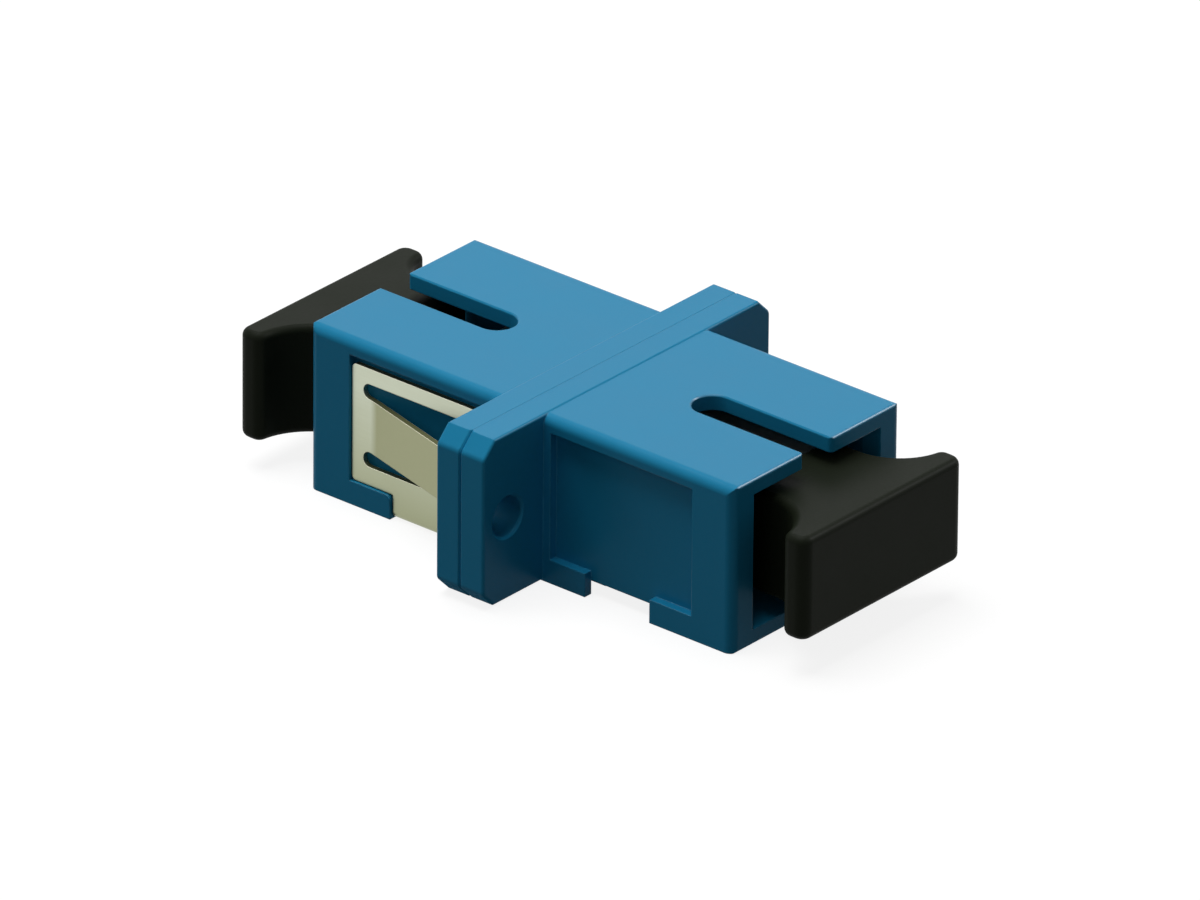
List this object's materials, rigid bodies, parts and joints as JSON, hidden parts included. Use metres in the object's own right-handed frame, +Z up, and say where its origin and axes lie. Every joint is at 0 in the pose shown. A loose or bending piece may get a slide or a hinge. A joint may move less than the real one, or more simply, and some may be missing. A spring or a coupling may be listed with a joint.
{
  "type": "fibre optic adapter",
  "caption": "Simplex adapter that joins push-pull fibre plugs with 2.5 mm ferrules end to end, with a flange, a steel panel clip and pull-off dust caps.",
  "frame": {"origin": "on the optical axis, in the parting plane between the two housing halves", "axes": "+X along the optical axis towards the half without the clip, +Y across the flange, +Z up towards the keyways"},
  "size_m": [0.0364, 0.022, 0.0093],
  "materials": {
    "blue_plastic": "satin moulded thermoplastic",
    "latch_plastic": "natural moulded thermoplastic",
    "ceramic": "polished white ceramic",
    "clip_steel": "satin spring steel",
    "cap_plastic": "soft black plastic"
  },
  "bodies": {
    "adapter": {"housing_front": "blue_plastic", "housing_rear": "blue_plastic", "latch_holder_front": "latch_plastic", "latch_holder_rear": "latch_plastic", "alignment_sleeve": "ceramic", "panel_clip": "clip_steel"},
    "front_cap": {"dust_cap_front": "cap_plastic"},
    "rear_cap": {"dust_cap_rear": "cap_plastic"}
  },
  "joints": [
    {"name": "front_cap_pull", "type": "slide", "parent": "adapter", "child": "front_cap", "axis": [1, 0, 0], "range_m": [0, 0.03]},
    {"name": "rear_cap_pull", "type": "slide", "parent": "adapter", "child": "rear_cap", "axis": [-1, 0, 0], "range_m": [0, 0.03]}
  ]
}
